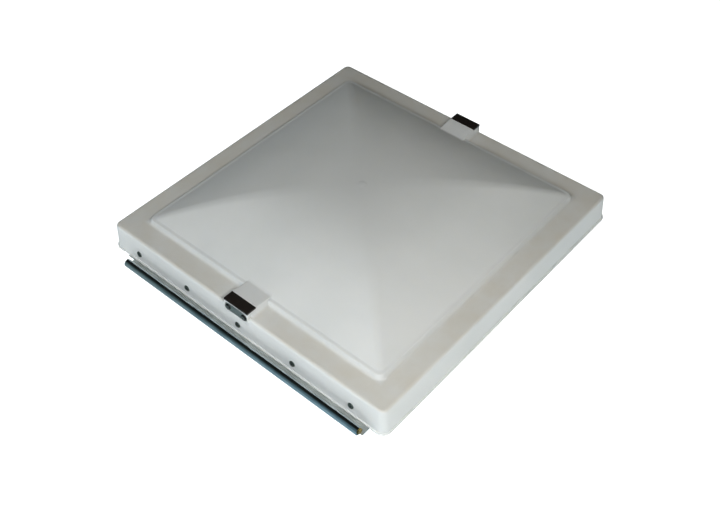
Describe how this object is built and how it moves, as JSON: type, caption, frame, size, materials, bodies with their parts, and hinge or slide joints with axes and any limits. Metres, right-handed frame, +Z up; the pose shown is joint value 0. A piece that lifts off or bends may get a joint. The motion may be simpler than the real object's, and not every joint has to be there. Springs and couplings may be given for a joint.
{
  "type": "roof vent lid",
  "caption": "Square moulded roof vent lid with a low pyramid dome, full-length edge hinge, lift rail with a sliding shoe, and foam edge gasket.",
  "frame": {"origin": "centre of the base leaf's screw line, on the underside of the leaf, which lies on the vent's roof flange", "axes": "+X along the hinge, +Y from the hinge towards the lid's free edge, +Z up, out of the roof"},
  "size_m": [0.406, 0.4215, 0.0731],
  "materials": {
    "lid_plastic": "satin moulded polypropylene, slightly translucent white",
    "cap_plastic": "black nylon, lightly worn",
    "plate_steel": "dull zinc plate",
    "screw_steel": "dark zinc plate",
    "rail_aluminium": "mill finish, drawn lengthwise",
    "slider_nylon": "natural nylon",
    "foam": "closed-cell foam tape",
    "hinge_steel": "bright zinc plate, rolled",
    "pin_steel": "yellow zinc plate",
    "rivet_aluminium": "dull, weathered",
    "mandrel_steel": "snapped steel, slightly rusty"
  },
  "bodies": {
    "base_leaf": {"base_hinge_leaf": "hinge_steel"},
    "lid": {"lid_shell": "lid_plastic", "lid_hinge_leaf": "hinge_steel", "hinge_pin": "pin_steel", "hinge_rivets": "rivet_aluminium", "rivet_mandrels": "mandrel_steel", "lift_rail": "rail_aluminium", "rail_centre_screw": "screw_steel", "rear_boss_cap": "cap_plastic", "front_boss_cap": "cap_plastic", "rear_rail_end_plate": "plate_steel", "front_rail_end_plate": "plate_steel", "rear_end_plate_screws": "screw_steel", "front_end_plate_screws": "screw_steel", "rear_foam_strip": "foam", "front_foam_strip": "foam", "left_foam_strip": "foam", "right_foam_strip": "foam"},
    "slider": {"rail_slider": "slider_nylon"}
  },
  "joints": [
    {"name": "lid_hinge", "type": "hinge", "parent": "base_leaf", "child": "lid", "pos_m": [0, -0.0233, 0.0052], "axis": [1, 0, 0], "range_deg": [0, 100]},
    {"name": "rail_slide", "type": "slide", "parent": "lid", "child": "slider", "axis": [0, 1, 0], "range_m": [-0.13, 0.19]}
  ]
}
